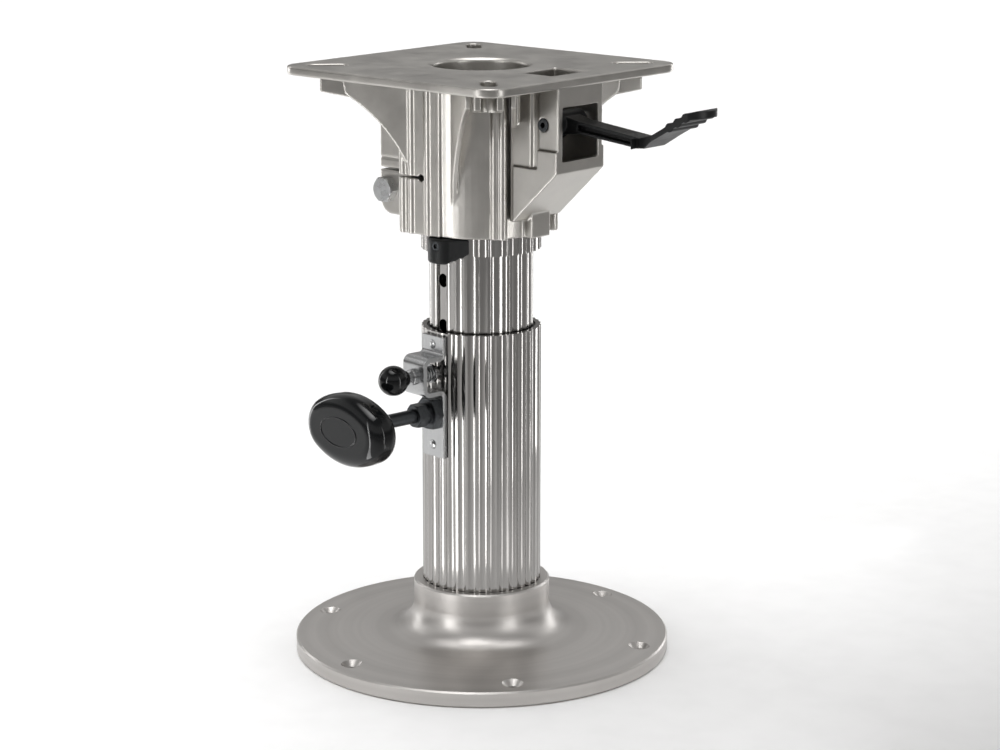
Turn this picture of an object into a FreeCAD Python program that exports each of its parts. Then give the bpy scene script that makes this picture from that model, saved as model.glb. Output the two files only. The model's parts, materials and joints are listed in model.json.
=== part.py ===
"""Boat seat pedestal: ribbed two-stage column, locking bracket and swivelling seat mount."""
import FreeCAD, Part
import math
import os
import types

import Sketcher
from FreeCAD import Placement, Rotation, Vector

# Frame: +Z up, origin at the centre of the base underside, plate sides along X and Y.
# The seat lever points to +X. The locking bracket of the column points to -Y, turned by
# column_turn degrees about Z. Distances named reach, gap or wall are measured from the axis,
# from the bore of the seat mount or from the surface that their meaning names.

SIZES = [
    ("base_radius", 114.3, "radius of the round base"),
    ("rim_thickness", 9.5, "thickness of the base at its rim"),
    ("base_edge", 1.0, "bevel of the base's edges"),
    ("base_rise", 3.0, "rise of the base from rim to flare"),
    ("flare_radius", 18.0, "radius of the flare into the collar"),
    ("collar_wall", 5.5, "wall of the collar round the outer tube"),
    ("collar_top", 44.4, "height of the collar's top"),
    ("seat_floor", 6.0, "height at which the outer tube stands in the base"),
    ("base_opening", 25.0, "radius of the opening under the column"),
    ("screw_inset", 12.7, "distance of the floor screws from the base's rim"),
    ("screw_count", 6, "floor screws"),
    ("screw_hole", 3.4, "radius of a floor screw hole"),
    ("screw_sink", 6.4, "radius of a countersink at the top face"),
    ("screw_turn", 22.5, "turn of the screw circle about Z, degrees"),
    ("column_turn", -7.0, "turn of the column about Z, degrees"),
    ("tube_radius", 36.0, "radius of the outer tube over its ribs"),
    ("tube_flute_depth", 0.8, "depth of a flute of the outer tube"),
    ("tube_flutes", 36, "flutes of the outer tube"),
    ("flute_share", 0.8, "share of the pitch that a flute takes"),
    ("tube_wall", 3.4, "wall of the outer tube at its ribs"),
    ("tube_length", 196.7, "length of the outer tube"),
    ("land_depth", 0.6, "depth of the flat land under the bracket"),
    ("bush_wall", 1.45, "room for the guide bushes between the two tubes"),
    ("bush_length", 14.0, "length of a guide bush"),
    ("bush_recess", 0.6, "depth of the upper bush below the tube's mouth"),
    ("upper_lift", 44.0, "height of the upper tube's foot above the outer tube's foot"),
    ("upper_wall", 3.65, "wall of the upper tube at its ribs"),
    ("upper_flutes", 28, "flutes of the upper tube"),
    ("upper_flute_depth", 0.65, "depth of a flute of the upper tube"),
    ("channel_depth", 1.55, "depth of the channel in the upper tube"),
    ("channel_width", 8.6, "width of the channel in the upper tube"),
    ("pitch_of_holes", 27.5, "spacing of the height holes"),
    ("lock_clearance", 0.45, "radial clearance of the lock pin in a height hole"),
    ("fit", 0.06, "radial clearance of a running fit"),
    ("press_gap", 0.03, "radial clearance of a fixed fit"),
    ("running_gap", 0.3, "gap between pieces that pass each other"),
    ("edge", 0.5, "bevel of the edges of small turned pieces"),
    ("bracket_width", 19.0, "width of the locking bracket"),
    ("bracket_sheet", 2.8, "sheet thickness of the locking bracket"),
    ("bracket_bend", 2.2, "inner bend radius of the locking bracket"),
    ("bracket_drop", 2.0, "distance of the bracket's top from the tube's mouth"),
    ("bracket_length", 73.8, "length of the locking bracket"),
    ("hat_half", 11.9, "half of the outer height of the raised part"),
    ("hat_depth", 17.6, "reach of the raised part from the tube"),
    ("rivet_radius", 2.0, "radius of a bracket rivet"),
    ("rivet_head", 2.8, "head radius of a bracket rivet"),
    ("rivet_dome", 1.2, "height of a bracket rivet's head"),
    ("rivet_below_top", 5.1, "distance of the upper rivet from the bracket's top"),
    ("rivet_above_end", 7.3, "distance of the lower rivet from the bracket's lower end"),
    ("pin_drop", 24.7, "distance of the lock pin from the tube's mouth"),
    ("pin_radius", 3.6, "radius of the lock pin"),
    ("pin_travel_in", 3.0, "travel of the lock pin towards the column"),
    ("pin_shank", 3.0, "radius of the lock pin's shank"),
    ("clip_rim", 2.0, "rim of the collar on the lock pin"),
    ("clip_width", 1.5, "width of the collar on the lock pin"),
    ("spring_wire", 0.9, "wire thickness of the pin spring"),
    ("spring_turns", 4.0, "turns of the pin spring"),
    ("guide_radius", 4.8, "radius of the pin guide's nose"),
    ("guide_nose", 2.6, "length of the pin guide's nose outside the bracket"),
    ("guide_flange", 1.2, "thickness of the pin guide's flange"),
    ("ball_radius", 9.0, "radius of the pull ball"),
    ("ball_flat", 8.2, "distance of the ball's flat from its centre"),
    ("ball_clear", 1.4, "gap left between guide and ball when the pin is home"),
    ("clamp_drop", 48.8, "distance of the clamp screw from the tube's mouth"),
    ("shaft_radius", 4.2, "radius of the clamp screw"),
    ("thread_clearance", 0.1, "radial clearance round the clamp screw"),
    ("hex_radius", 10.4, "corner radius of the threaded bushing's hexagon"),
    ("hex_length", 5.4, "length of the bushing's hexagon"),
    ("neck_radius", 6.4, "radius of the bushing's neck"),
    ("neck_length", 3.0, "length of the bushing's neck"),
    ("spigot_radius", 6.5, "radius of the bushing's spigot"),
    ("jam_radius", 7.5, "corner radius of the jam nut"),
    ("jam_length", 6.8, "length of the jam nut"),
    ("pad_length", 3.2, "length of the clamp pad"),
    ("nose_radius", 2.3, "radius of the screw's nose in the pad"),
    ("nose_length", 1.4, "length of the screw's nose in the pad"),
    ("knob_gap", 36.3, "distance of the oval knob from the jam nut"),
    ("knob_half_width", 34.0, "half of the oval knob's width"),
    ("knob_half_height", 21.5, "half of the oval knob's height"),
    ("knob_end_radius", 17.0, "end radius of the oval knob"),
    ("knob_thickness", 20.0, "thickness of the oval knob"),
    ("knob_rounding", 8.5, "edge rounding of the oval knob"),
    ("knob_cover", 5.0, "material of the oval knob over the screw's end"),
    ("column_shown", 47.3, "length of the upper tube between outer tube and sleeve"),
    ("sleeve_length", 74.8, "length of the swivel sleeve"),
    ("cross_pin_drop", 10.0, "distance of the sleeve's cross pins from its top"),
    ("cross_pin_radius", 2.5, "radius of a cross pin"),
    ("plug_length", 24.0, "length of the plug in the upper tube"),
    ("plug_step", 8.0, "step from the upper tube's bore to the plug's boss"),
    ("thrust_thickness", 2.0, "thickness of the thrust washer"),
    ("thrust_width", 4.0, "distance of the thrust washer's hole from the plug's boss"),
    ("shoulder_thickness", 6.0, "thickness of the shoulder in the seat mount"),
    ("retainer_inset", 0.5, "distance of the retaining washer's rim inside the upper tube's bore"),
    ("retainer_thickness", 2.5, "thickness of the retaining washer"),
    ("bolt_radius", 5.0, "radius of the retaining bolt"),
    ("bolt_length", 20.0, "length of the retaining bolt"),
    ("bolt_hex", 9.2, "corner radius of the retaining bolt's head"),
    ("bolt_head", 6.5, "height of the retaining bolt's head"),
    ("bushing_wall", 2.2, "wall of the swivel bushing"),
    ("bushing_lift", 1.0, "distance of the swivel bushing from the casting's lower edge"),
    ("bushing_room", 10.2, "distance of the swivel bushing below the lever's tooth"),
    ("plate_side", 168.0, "side of the seat plate"),
    ("plate_thickness", 5.3, "thickness of the seat plate"),
    ("plate_corner", 12.5, "corner radius of the seat plate"),
    ("plate_rise", 34.2, "height of the plate's top face above the sleeve's top"),
    ("plate_edge", 1.0, "rounding of the seat plate's edges"),
    ("opening_margin", 2.0, "room round the retaining washer in the plate's opening"),
    ("opening_bevel", 1.6, "bevel of the central opening"),
    ("slot_square", 127.0, "side of the square of the seat bolt slots"),
    ("slot_length", 25.0, "length of a seat bolt slot"),
    ("slot_width", 8.7, "width of a seat bolt slot"),
    ("mount_lift", 11.3, "height of the casting's lower edge above the sleeve's lower end"),
    ("hub_wall", 3.2, "wall of the hub round its bore"),
    ("hub_draft", 0.6, "gain of the hub's radius up to the plate"),
    ("flank_wall", 4.1, "wall of the hub at its side flats"),
    ("flank_start", -24.0, "start of a side flat along X"),
    ("flank_end", 6.0, "end of a side flat along X"),
    ("hub_rib", 2.6, "radius of a rib on the hub"),
    ("gusset_width", 25.0, "width of a gusset at its outer end"),
    ("gusset_foot_width", 37.2, "width of a gusset at the hub"),
    ("gusset_lever_side", 16.0, "reach of a gusset's outer end towards the lever"),
    ("gusset_lever_depth", 23.4, "depth of a gusset's web beside the lever housing"),
    ("gusset_web", 3.0, "thickness of a gusset's web"),
    ("gusset_reach", 81.0, "reach of a gusset from the axis"),
    ("gusset_height", 83.7, "height of a gusset above its root in the hub"),
    ("gusset_root", 5.5, "depth of a gusset's root inside the hub"),
    ("gusset_depth", 13.2, "depth of a gusset near its outer end"),
    ("gusset_cove", 95.0, "radius of the hollow under a gusset"),
    ("lug_reach", 94.5, "reach of a slot lug from the axis"),
    ("lug_root", 77.0, "inner end of a slot lug from the axis"),
    ("lug_width", 16.7, "width of a slot lug"),
    ("lug_depth", 9.5, "depth of a slot lug at its outer end"),
    ("lug_root_depth", 13.0, "depth of a slot lug at its inner end"),
    ("housing_reach", 77.0, "reach of the lever housing from the axis"),
    ("housing_half", 19.5, "half width of the lever housing"),
    ("housing_toe", 2.0, "distance of the slope's foot from the hub"),
    ("housing_gap", 9.2, "distance of the housing's inner wall from the bore"),
    ("front_wall", 3.5, "thickness of the housing's front wall and floor"),
    ("cheek_wall", 4.0, "wall of the lever housing's cheeks"),
    ("cheek_relief", 1.5, "height of the raised lower field of a cheek"),
    ("lip_rise", 42.5, "height of the housing's lip above the casting's lower edge"),
    ("slope_height", 31.5, "height of the slope under the lever housing"),
    ("relief_step", 12.8, "height of the raised field's outer step above the lip"),
    ("relief_rise", 1.6, "height of the raised field's inner step above the lip"),
    ("cheek_groove_place", 15.0, "distance of the cheek's groove from the housing's front"),
    ("cheek_groove_width", 5.7, "width of the cheek's groove"),
    ("cheek_groove_depth", 1.2, "depth of the cheek's groove"),
    ("pocket_sill", 6.6, "height of the lever pocket's sill above the lip"),
    ("pocket_height", 31.0, "height of the lever pocket"),
    ("window_inset", 5.0, "distance of the plate's window from the housing's front wall"),
    ("boss_half", 8.0, "half width of the boss under the lever housing"),
    ("ear_reach", 15.7, "distance of the clamp ears' end from the bore"),
    ("ear_half", 30.0, "half width over both clamp ears"),
    ("ear_lift", 6.7, "height of the ears' lower end above the casting's lower edge"),
    ("ear_height", 57.0, "height of the clamp ears"),
    ("ear_rounding", 9.0, "rounding of the ears' lower end"),
    ("clamp_slit", 2.4, "width of the upright clamp slit"),
    ("slit_rise", 33.9, "height of the level clamp slit above the casting's lower edge"),
    ("slit_width", 1.4, "width of the level clamp slit"),
    ("slit_end", 9.0, "distance of the slit's end holes from the middle"),
    ("slit_end_radius", 2.2, "radius of the slit's end holes"),
    ("ear_line_width", 1.2, "width of the grooves that mark off the ears"),
    ("ear_line_depth", 1.2, "depth of the grooves that mark off the ears"),
    ("ear_line_height", 16.0, "height of the upright groove beside an ear"),
    ("ear_line_rise", 6.0, "height of the level groove above the level slit"),
    ("pinch_lift", 21.7, "height of the pinch bolt above the casting's lower edge"),
    ("pinch_gap", 9.5, "distance of the pinch bolt from the bore"),
    ("pinch_radius", 4.0, "radius of the pinch bolt"),
    ("pinch_hex", 8.1, "corner radius of the pinch bolt's head"),
    ("pinch_head", 5.6, "height of the pinch bolt's head"),
    ("pivot_inset", 11.5, "distance of the lever pivot from the housing's front"),
    ("pivot_drop", 10.3, "distance of the lever pivot from the pocket's top"),
    ("pivot_radius", 2.6, "radius of the lever pivot pin"),
    ("pivot_head", 3.7, "radius of the pivot pin's head"),
    ("pivot_head_depth", 1.8, "height of the pivot pin's head"),
    ("pivot_head_proud", 0.4, "height of the pivot pin's head above the cheek"),
    ("lever_width", 13.0, "width of the lever's arm"),
    ("lever_web", 5.0, "thickness of the web between the arm's grooves"),
    ("lever_hub", 6.8, "radius of the lever's hub"),
    ("lever_hub_room", 3.5, "room beside the lever's hub for its spring"),
    ("lever_spring_wire", 1.0, "wire thickness of the lever spring"),
    ("grip_width", 24.0, "width of the lever's grip"),
    ("grip_end_radius", 13.0, "radius of the grip's end in plan"),
    ("grip_rib", 2.65, "radius of a rib across the grip"),
    ("grip_rib_pitch", 5.6, "spacing of the ribs on the grip"),
    ("tooth_width", 3.6, "width of the lever's locking tooth"),
    ("tooth_top", 8.0, "distance of the tooth's top below the pivot"),
    ("tooth_height", 5.0, "height of the tooth"),
    ("tooth_gap", 0.4, "gap between tooth and sleeve"),
    ("block_depth", 14.7, "height of the stop block"),
    ("block_turn", 7.0, "turn of the stop block about Z, degrees"),
    ("block_nose", 10.5, "radius of the stop block's nose"),
    ("block_reach", 10.5, "reach of the stop block from the sleeve"),
    ("block_tail", 16.5, "reach of the stop block's tail to the side"),
    ("block_slant", 7.0, "height of the slant under the stop block's tail"),
    ("block_rounding", 1.6, "rounding of the stop block's edges"),
    ("block_screw", 1.6, "radius of the stop block's screw"),
    ("block_screw_head", 2.5, "radius of the screw's head"),
    ("block_screw_drop", 4.0, "distance of the screw from the block's top"),
]

document = FreeCAD.newDocument("boat_seat_pedestal")
sheet = document.addObject("Spreadsheet::Sheet", "Sizes")
for row, (alias, number, meaning) in enumerate(SIZES, start=1):
    sheet.set(f"A{row}", meaning)
    sheet.set(f"B{row}", str(number))
    sheet.setAlias(f"B{row}", alias)
document.recompute()


class Size:
    """A number together with the sheet expression that it comes from."""

    def __init__(self, number, text):
        self.number = float(number)
        self.text = text

    def __add__(self, other):
        other = as_size(other)
        return Size(self.number + other.number, f"({self.text} + {other.text})")

    def __radd__(self, other):
        return as_size(other) + self

    def __sub__(self, other):
        other = as_size(other)
        return Size(self.number - other.number, f"({self.text} - {other.text})")

    def __rsub__(self, other):
        return as_size(other) - self

    def __mul__(self, other):
        other = as_size(other)
        return Size(self.number * other.number, f"({self.text} * {other.text})")

    def __rmul__(self, other):
        return as_size(other) * self

    def __truediv__(self, other):
        other = as_size(other)
        return Size(self.number / other.number, f"({self.text} / {other.text})")

    def __neg__(self):
        return 0 - self


def as_size(item):
    """Turn a plain number into a Size."""
    return item if isinstance(item, Size) else Size(item, f"({float(item):.6f})")


def root(item):
    """Square root of a size."""
    return Size(math.sqrt(item.number), f"sqrt({item.text})")


S = types.SimpleNamespace(**{
    alias: Size(number, f"Sizes.{alias}") for alias, number, _ in SIZES})

CLEAR = 1.0  # how far a cutting shape runs past the material that it cuts
SUNK = 0.5  # how far a joined shape runs into its neighbour in the same piece
DIAGONAL = math.sqrt(0.5)

# Column: radii outward from the axis, then heights upward from the floor.
tube_bore = S.tube_radius - S.tube_wall
upper_radius = tube_bore - S.bush_wall
upper_bore = upper_radius - S.upper_wall
plug_boss = upper_bore - S.plug_step
retainer_radius = upper_bore - S.retainer_inset
channel_floor = upper_radius - S.channel_depth
land = S.tube_radius - S.land_depth
collar_radius = S.tube_radius + S.collar_wall
screw_circle = S.base_radius - S.screw_inset
tube_seat = S.tube_radius + S.press_gap
sleeve_bore = upper_radius + S.press_gap
bushing_bore = S.tube_radius + S.fit
bushing_outside = bushing_bore + S.bushing_wall
mount_bore = bushing_outside + S.press_gap
tube_top = S.seat_floor + S.tube_length
upper_bottom = S.seat_floor + S.upper_lift
sleeve_bottom = tube_top + S.column_shown
sleeve_top = sleeve_bottom + S.sleeve_length
cross_pin_height = sleeve_top - S.cross_pin_drop

# Locking bracket and what it carries.
bracket_face = land + S.bracket_sheet
hat_face = land + S.hat_depth
hat_inside = hat_face - S.bracket_sheet
bracket_top = tube_top - S.bracket_drop
bracket_bottom = bracket_top - S.bracket_length
pin_height = tube_top - S.pin_drop
clamp_height = tube_top - S.clamp_drop
rivet_upper_height = bracket_top - S.rivet_below_top
rivet_lower_height = bracket_bottom + S.rivet_above_end
pin_tip = channel_floor + S.running_gap
clip_inner = land + S.pin_travel_in + S.running_gap
clip_outer = clip_inner + S.clip_width
guide_end = hat_face + S.guide_nose
ball_start = guide_end + S.pin_travel_in + S.ball_clear
ball_centre = ball_start + S.ball_flat
hex_end = bracket_face + S.hex_length
neck_end = hex_end + S.neck_length
jam_end = neck_end + S.jam_length
screw_bore = S.shaft_radius + S.thread_clearance
pad_tip = channel_floor + S.running_gap
pad_end = pad_tip + S.pad_length
knob_inner = jam_end + S.knob_gap
knob_middle = knob_inner + S.knob_thickness / 2
knob_outer = knob_inner + S.knob_thickness

# Column head and seat mount.
shoulder_bottom = sleeve_top + S.fit + S.thrust_thickness
shoulder_top = shoulder_bottom + S.shoulder_thickness
plate_top = sleeve_top + S.plate_rise
plate_under = plate_top - S.plate_thickness
plate_opening = retainer_radius + S.opening_margin
mount_bottom = sleeve_bottom + S.mount_lift
hub_radius = mount_bore + S.hub_wall
hub_inside = mount_bore + S.hub_wall / 2
hub_height = plate_under - mount_bottom + SUNK
flank_reach = mount_bore + S.flank_wall
gusset_foot = plate_under - S.gusset_height
gusset_lever_foot = plate_under - S.gusset_lever_depth
housing_inner = mount_bore + S.housing_gap
housing_lip = mount_bottom + S.lip_rise
slope_foot = housing_lip - S.slope_height
cavity_half = S.housing_half - S.cheek_wall
cavity_end = S.housing_reach - S.front_wall
pocket_bottom = housing_lip + S.pocket_sill
pocket_top = pocket_bottom + S.pocket_height
pivot_x = S.housing_reach - S.pivot_inset
pivot_z = pocket_top - S.pivot_drop
tooth_tip = S.tube_radius + S.tooth_gap
tooth_bottom = pivot_z - S.tooth_top - S.tooth_height
bushing_top = tooth_bottom - S.bushing_room
pinch_reach = mount_bore + S.pinch_gap
pinch_height = mount_bottom + S.pinch_lift
slit_height = mount_bottom + S.slit_rise
lever_hub_half = cavity_half - S.lever_hub_room
block_top = mount_bottom - S.running_gap
block_bottom = block_top - S.block_depth
block_end = S.tube_radius + S.block_reach
block_screw_height = block_top - S.block_screw_drop

sub_parts = []


def bind(thing, prop, item):
    """Bind a property of a document object to the sheet."""
    thing.setExpression(prop, as_size(item).text)


def new_body(name):
    """A sub-part that is built up from features."""
    body = document.addObject("PartDesign::Body", name)
    body.Label = name
    sub_parts.append(body)
    return body


def turn_about_z(body, turn, height=0):
    """Place a piece that is modelled about its own axis: turned about Z, at its height."""
    body.Placement = Placement(Vector(0, 0, 0), Rotation(Vector(0, 0, 1), 1))
    bind(body, "Placement.Rotation.Angle", turn)
    bind(body, "Placement.Base.z", height)


def place_at(body, across, up):
    """Place a piece that is modelled about the Y line through its own origin."""
    bind(body, "Placement.Base.x", across)
    bind(body, "Placement.Base.z", up)


def origin_feature(body, role):
    """One of the body's own origin planes or axes."""
    return next(item for item in body.Origin.OriginFeatures if item.Role == role)


def new_sketch(body, role, height=0, turn=0):
    """Sketch on an origin plane, shifted along its normal and turned about Z."""
    upright = Vector(0, 0, 1) if role == "XY_Plane" else Vector(0, 1, 0)
    sketch = body.newObject("Sketcher::SketchObject", body.Name + "_sketch")
    sketch.AttachmentSupport = [(origin_feature(body, role), "")]
    sketch.MapMode = "FlatFace"
    sketch.AttachmentOffset = Placement(Vector(0, 0, 0), Rotation(upright, turn))
    bind(sketch, "AttachmentOffset.Base.z", height)
    return sketch


def fix_size(sketch, kind, item, *where):
    """Add a dimension to a sketch and bind it to the sheet."""
    item = as_size(item)
    index = sketch.addConstraint(Sketcher.Constraint(kind, *where, item.number))
    sketch.setExpression(f"Constraints[{index}]", item.text)


def add_circle(sketch, across, up, radius):
    """A full circle with its centre and radius fixed."""
    across, up, radius = as_size(across), as_size(up), as_size(radius)
    centre = Vector(across.number, up.number, 0)
    circle = sketch.addGeometry(Part.Circle(centre, Vector(0, 0, 1), radius.number))
    fix_size(sketch, "DistanceX", across, circle, 3)
    fix_size(sketch, "DistanceY", up, circle, 3)
    fix_size(sketch, "Radius", radius, circle)


def arc_through(start, end, radius):
    """Arc of a given radius from start to end; it bends left for radius > 0."""
    chord = end - start
    middle = (start + end) * 0.5
    left = Vector(-chord.y, chord.x, 0).normalize()
    reach = math.sqrt(max(radius * radius - chord.Length ** 2 / 4, 0.0))
    centre = middle + left * math.copysign(reach, radius)
    first, last = (start, end) if radius > 0 else (end, start)
    begin = math.atan2(first.y - centre.y, first.x - centre.x)
    finish = math.atan2(last.y - centre.y, last.x - centre.x)
    if finish < begin:
        finish += 2 * math.pi
    circle = Part.Circle(centre, Vector(0, 0, 1), abs(radius))
    return Part.ArcOfCircle(circle, begin, finish)


def add_outline(sketch, corners):
    """Closed outline; a corner is (across, up) or (across, up, radius of the next arc)."""
    points = [(as_size(corner[0]), as_size(corner[1])) for corner in corners]
    arcs = [as_size(corner[2]) if len(corner) > 2 else None for corner in corners]
    flat = [Vector(across.number, up.number, 0) for across, up in points]
    begins, ends, edges = [], [], []
    for number, (start, arc) in enumerate(zip(flat, arcs)):
        end = flat[(number + 1) % len(flat)]
        forward = arc is None or arc.number > 0
        shape = Part.LineSegment(start, end) if arc is None else arc_through(start, end, arc.number)
        edges.append(sketch.addGeometry(shape))
        begins.append(1 if forward else 2)
        ends.append(2 if forward else 1)
    for number, line in enumerate(edges):
        before = number - 1
        sketch.addConstraint(Sketcher.Constraint(
            "Coincident", edges[before], ends[before], line, begins[number]))
        fix_size(sketch, "DistanceX", points[number][0], line, begins[number])
        fix_size(sketch, "DistanceY", points[number][1], line, begins[number])
    for line, arc in zip(edges, arcs):
        if arc is not None:
            fix_size(sketch, "Radius", arc if arc.number > 0 else -arc, line)


def rounded(corners):
    """Round the corners (across, up, radius) of an outline with level and upright edges."""
    result = []
    count = len(corners)
    for number, (across, up, radius) in enumerate(corners):
        across, up, radius = as_size(across), as_size(up), as_size(radius)
        if radius.number == 0:
            result.append((across, up))
            continue
        steps = []
        for other in (corners[number - 1], corners[(number + 1) % count]):
            run = as_size(other[0]).number - across.number
            rise = as_size(other[1]).number - up.number
            length = math.hypot(run, rise)
            steps.append((round(run / length), round(rise / length)))
        (back_x, back_y), (on_x, on_y) = steps
        left_turn = back_y * on_x - back_x * on_y > 0
        result.append((across + radius * back_x, up + radius * back_y,
                       radius if left_turn else -radius))
        result.append((across + radius * on_x, up + radius * on_y))
    return result


def pad(body, sketch, length, both_ways=False):
    """Extrude a sketch into solid material."""
    feature = body.newObject("PartDesign::Pad", body.Name + "_pad")
    feature.Profile = sketch
    feature.SideType = "Symmetric" if both_ways else "One side"
    bind(feature, "Length", length)
    return feature


def pocket(body, sketch, length=None):
    """Cut a sketch through the whole body both ways, or to a total length about its plane."""
    feature = body.newObject("PartDesign::Pocket", body.Name + "_pocket")
    feature.Profile = sketch
    feature.SideType = "Symmetric"
    if length is None:
        feature.Type = "ThroughAll"
    else:
        bind(feature, "Length", length)
    return feature


def revolve(body, sketch, kind="Revolution"):
    """Turn a sketch round its upright axis into a round solid or a groove."""
    feature = body.newObject("PartDesign::" + kind, body.Name + "_turned")
    feature.Profile = sketch
    feature.ReferenceAxis = (sketch, ["V_Axis"])
    feature.Angle = 360.0
    return feature


def coil(body, radius, start, height, turns, wire, outward):
    """Sweep a round wire along a helix about the body's Y line."""
    sketch = new_sketch(body, "XY_Plane")
    add_circle(sketch, radius, -start if outward else start, wire / 2)
    helix = body.newObject("PartDesign::AdditiveHelix", body.Name + "_coil")
    helix.Profile = sketch
    helix.ReferenceAxis = (sketch, ["V_Axis"])
    helix.Mode = "height-turns-angle"
    helix.Reversed = outward
    bind(helix, "Turns", turns)
    bind(helix, "Height", height)


def primitive(body, kind, place=(0, 0, 0), rotation=None, **sizes):
    """A box, cylinder, cone or prism that is added to or cut from the body."""
    feature = body.newObject("PartDesign::" + kind, body.Name + "_" + kind)
    feature.Placement = Placement(Vector(0, 0, 0), rotation or Rotation())
    for prop, item in sizes.items():
        bind(feature, prop, item)
    for axis, item in zip("xyz", place):
        bind(feature, "Placement.Base." + axis, item)
    return feature


def block(body, kind, x_range, y_range, z_range):
    """A box between two places along each axis."""
    ranges = [(as_size(low), as_size(high)) for low, high in (x_range, y_range, z_range)]
    lengths = [high - low for low, high in ranges]
    return primitive(body, kind, [low for low, _ in ranges],
                     Length=lengths[0], Width=lengths[1], Height=lengths[2])


TO_FRONT = Rotation(Vector(1, 0, 0), 90)  # turns the Z line to -Y


def outward(body, kind, start, end, height=0, turn=0, **sizes):
    """A cylinder or prism that runs outward from the axis, turned from -Y about Z."""
    start, end, turn = as_size(start), as_size(end), as_size(turn)
    angle = math.radians(turn.number)
    way = Rotation(Vector(0, 0, 1), turn.number) * TO_FRONT
    place = (start * math.sin(angle), -(start * math.cos(angle)), height)
    return primitive(body, kind, place, way, Height=end - start, **sizes)


def pattern(body, features, count):
    """Repeat features evenly round the body's Z axis."""
    feature = body.newObject("PartDesign::PolarPattern", body.Name + "_pattern")
    feature.Originals = features
    feature.Axis = (origin_feature(body, "Z_Axis"), [""])
    feature.Angle = 360.0
    bind(feature, "Occurrences", count)
    body.Tip = feature
    return feature


def turned_piece(name, corners, height=None):
    """Round piece about Z, or about the -Y line at a height of the turned column."""
    body = new_body(name)
    if height is None:
        sketch = new_sketch(body, "XZ_Plane")
        add_outline(sketch, corners)
        revolve(body, sketch)
    else:
        sketch = new_sketch(body, "XY_Plane")
        add_outline(sketch, [(c[0], -as_size(c[1])) + tuple(-as_size(arc) for arc in c[2:])
                             for c in corners])
        revolve(body, sketch)
        turn_about_z(body, S.column_turn, height)
    return body


def ring(name, inside, outside, bottom, top):
    """Plain bush or washer about Z with broken edges."""
    return turned_piece(name, [
        (inside, bottom), (outside - S.edge, bottom), (outside, bottom + S.edge),
        (outside, top - S.edge), (outside - S.edge, top), (inside, top)])


def fluted_tube(name, outside, bore, bottom, top, count, depth):
    """Extruded tube with wide shallow flutes between narrow ribs."""
    body = new_body(name)
    sketch = new_sketch(body, "XY_Plane", bottom)
    add_circle(sketch, 0, 0, outside)
    add_circle(sketch, 0, 0, bore)
    pad(body, sketch, top - bottom)
    half_width = outside * math.pi * S.flute_share / count
    flute_radius = (half_width * half_width + depth * depth) / (2 * depth)
    flute = primitive(body, "SubtractiveCylinder", (0, flute_radius - depth + outside, bottom),
                      Radius=flute_radius, Height=top - bottom)
    pattern(body, [flute], count)
    return body


def hexagon(body, radius, start, end):
    """Hexagonal prism along -Y whose outer corners are turned down."""
    outward(body, "AdditivePrism", start, end, Circumradius=radius)
    flat = radius * math.cos(math.radians(30))
    fall = (radius - flat) * math.tan(math.radians(30)) * 2
    sketch = new_sketch(body, "XY_Plane")
    add_outline(sketch, [(flat, -end), (radius + CLEAR, -end + fall + CLEAR),
                         (radius + CLEAR, -end - CLEAR), (flat, -end - CLEAR)])
    revolve(body, sketch, "Groove")


def rim_edges(shape, axis):
    """Names of the edges that lie in the lowest and highest plane across an axis."""
    low = getattr(shape.BoundBox, axis + "Min")
    high = getattr(shape.BoundBox, axis + "Max")
    names = []
    for number, item in enumerate(shape.Edges, start=1):
        first, last = (getattr(item.BoundBox, axis + end) for end in ("Min", "Max"))
        if abs(last - low) < 1e-4 or abs(first - high) < 1e-4:
            names.append(f"Edge{number}")
    return names


def round_rims(body, slab, axis, radius):
    """Round the edges of a slab's two faces across an axis."""
    document.recompute()
    rounding = body.newObject("PartDesign::Fillet", body.Name + "_rounding")
    rounding.Base = (slab, rim_edges(slab.Shape, axis))
    bind(rounding, "Radius", radius)


def base_plate():
    """Round turned base with a flared collar and countersunk floor screw holes."""
    rim = S.base_radius - S.base_edge
    flare_end = collar_radius + S.flare_radius
    flare_foot = S.rim_thickness + S.base_rise
    body = turned_piece("base_plate", [
        (S.base_opening, 0),
        (rim, 0),
        (S.base_radius, S.base_edge),
        (S.base_radius, S.rim_thickness - S.base_edge),
        (rim, S.rim_thickness),
        (flare_end, flare_foot, -S.flare_radius),
        (collar_radius, flare_foot + S.flare_radius),
        (collar_radius, S.collar_top - S.base_edge),
        (collar_radius - S.base_edge, S.collar_top),
        (tube_seat, S.collar_top),
        (tube_seat, S.seat_floor),
        (S.base_opening, S.seat_floor)])
    sink = S.screw_sink - S.screw_hole
    face = S.rim_thickness + S.base_rise * (rim - screw_circle) / (rim - flare_end)
    hole = primitive(body, "SubtractiveCylinder", (screw_circle, 0, 0),
                     Radius=S.screw_hole, Height=face + CLEAR)
    cone = primitive(body, "SubtractiveCone", (screw_circle, 0, face - sink),
                     Radius1=S.screw_hole, Radius2=S.screw_sink + CLEAR, Height=sink + CLEAR)
    pattern(body, [hole, cone], S.screw_count)
    turn_about_z(body, S.screw_turn)


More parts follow.
